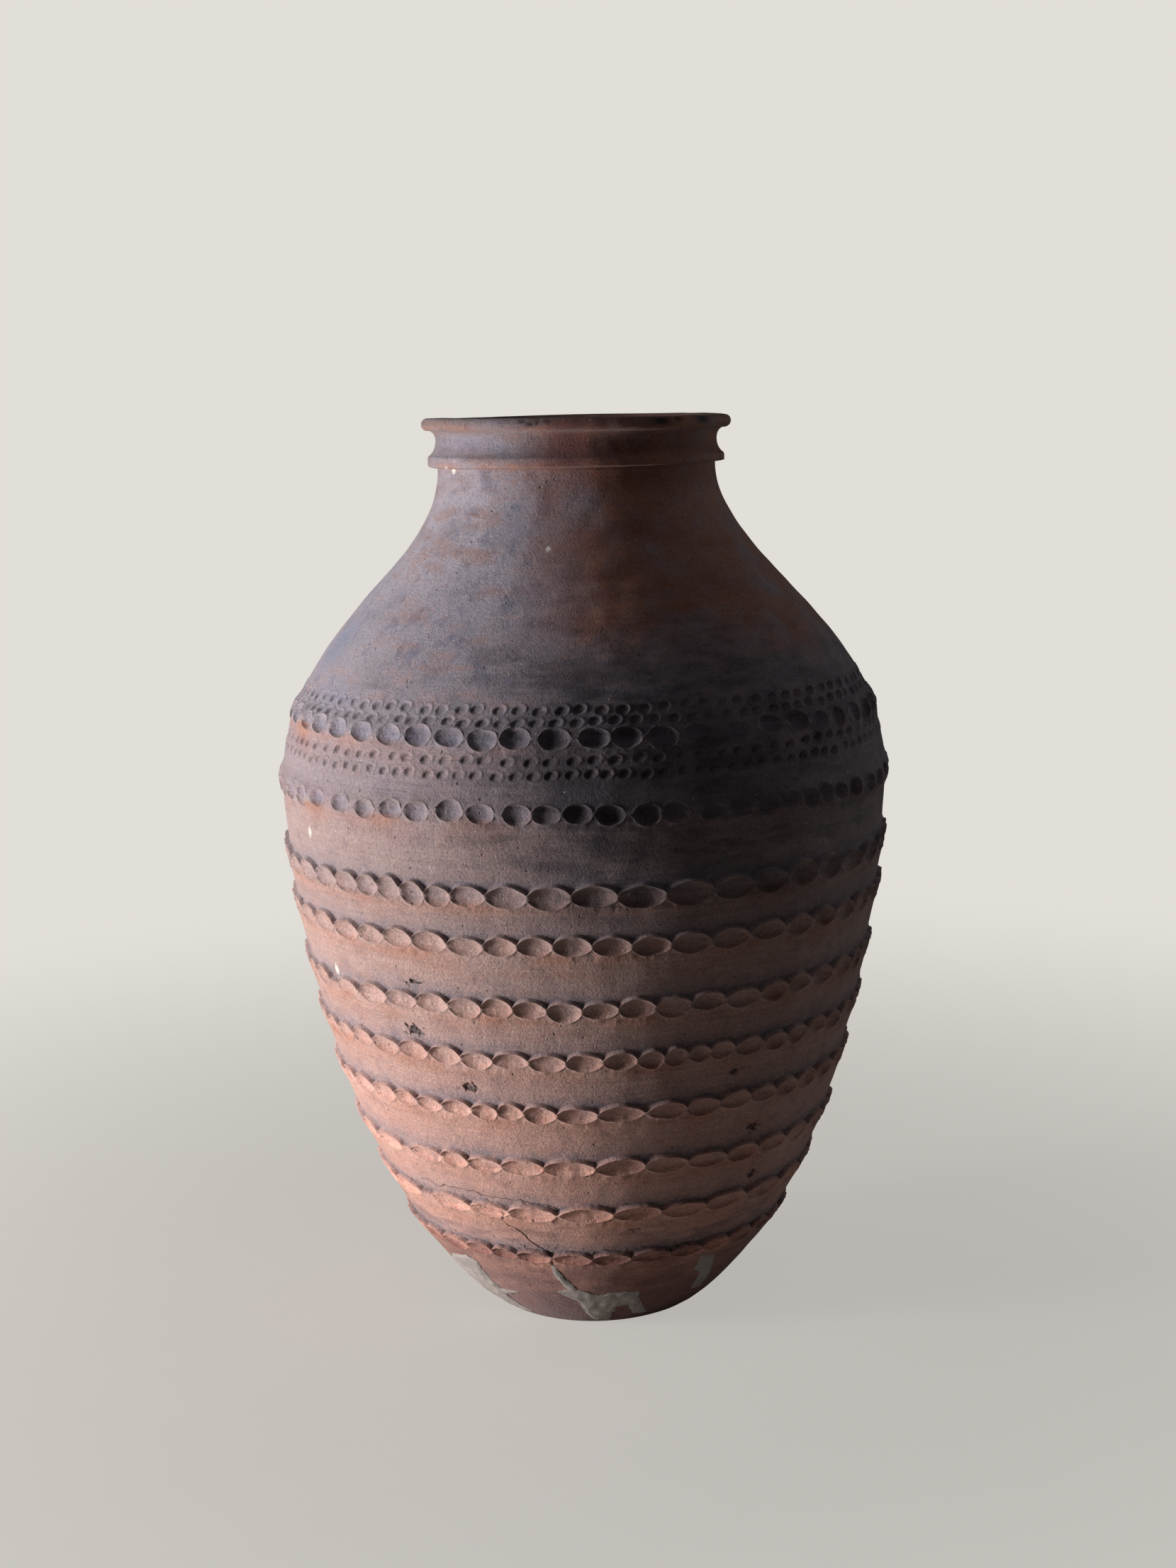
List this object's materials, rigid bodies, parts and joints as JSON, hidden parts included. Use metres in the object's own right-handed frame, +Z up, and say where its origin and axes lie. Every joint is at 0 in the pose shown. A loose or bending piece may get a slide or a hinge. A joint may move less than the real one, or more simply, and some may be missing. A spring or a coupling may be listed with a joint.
{
  "type": "pithos storage jar",
  "caption": "Large coil-built clay storage jar with a swelling body, narrow flat foot, short neck, collared rim and thumb-pressed bands; holds oil, wine, grain or water.",
  "frame": {"origin": "centre of the foot, on the ground", "axes": "+Z up along the jar's axis; -Y faces the camera of the picture"},
  "size_m": [0.5472, 0.5474, 0.8],
  "materials": {
    "red_clay": "fired red clay, smoothed, matt",
    "wall_clay": "fired terracotta, wiped in level lines, matt",
    "smoked_clay": "fired clay greyed by smoke, matt",
    "band_clay": "fired terracotta pressed with the thumb, matt",
    "mortar": "grey lime mortar, rubbed flush"
  },
  "bodies": {
    "root": {"base_disc": "red_clay", "foot_course": "red_clay", "body_course_1": "wall_clay", "body_course_2": "wall_clay", "body_course_3": "wall_clay", "body_course_4": "wall_clay", "body_course_5": "wall_clay", "body_course_6": "wall_clay", "body_course_7": "wall_clay", "body_course_8": "wall_clay", "body_course_9": "wall_clay", "shoulder_course": "smoked_clay", "neck_course": "smoked_clay", "rim_collar": "smoked_clay", "thumb_band_1": "band_clay", "thumb_band_2": "band_clay", "thumb_band_3": "band_clay", "thumb_band_4": "band_clay", "thumb_band_5": "band_clay", "thumb_band_6": "band_clay", "thumb_band_7": "band_clay", "thumb_band_8": "band_clay", "thumb_band_9": "band_clay", "thumb_band_10": "band_clay", "mortar_repairs": "mortar"}
  },
  "joints": []
}
